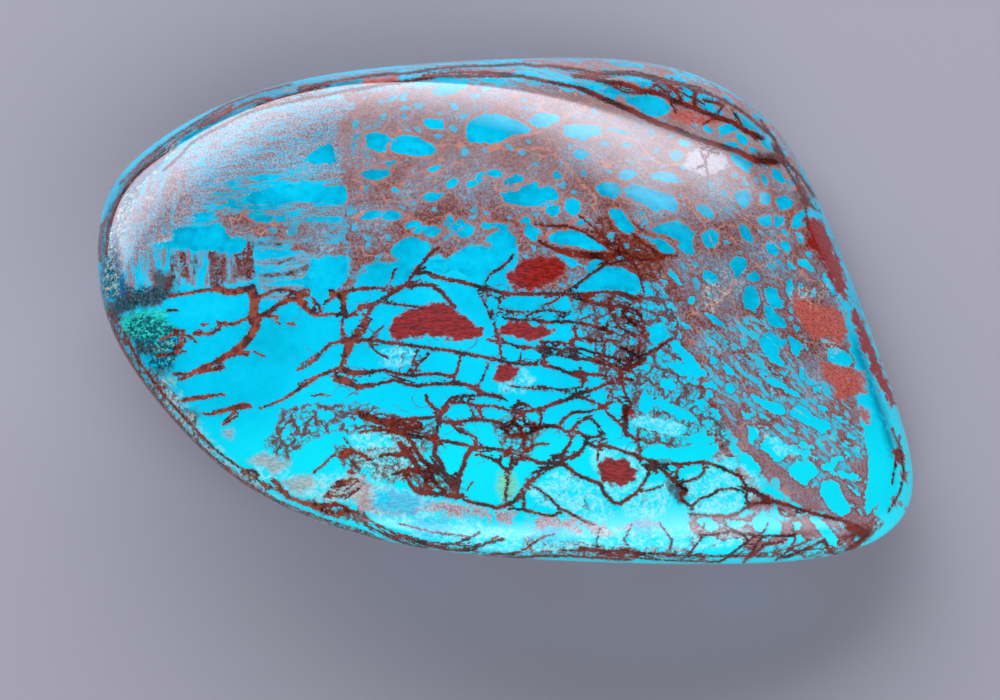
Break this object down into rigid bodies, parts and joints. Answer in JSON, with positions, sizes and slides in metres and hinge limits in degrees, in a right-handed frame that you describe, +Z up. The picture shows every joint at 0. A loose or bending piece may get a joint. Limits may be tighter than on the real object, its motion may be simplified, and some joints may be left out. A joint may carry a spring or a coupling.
{
  "type": "tumbled quantum quattro stone",
  "caption": "Flattish rounded wedge of polished turquoise-blue stone veined with dark red-brown, to hold, collect or display resting on its underside.",
  "frame": {"origin": "middle of the stone's bounding box in X and Y, on the small rest flat of its underside", "axes": "+Z up from the rest flat through the thin way of the stone, +X along its long way towards the tapered end, +Y towards the straight far side"},
  "size_m": [0.0402, 0.0294, 0.0102],
  "materials": {
    "stone": "polished"
  },
  "bodies": {
    "root": {"stone": "stone"}
  },
  "joints": []
}
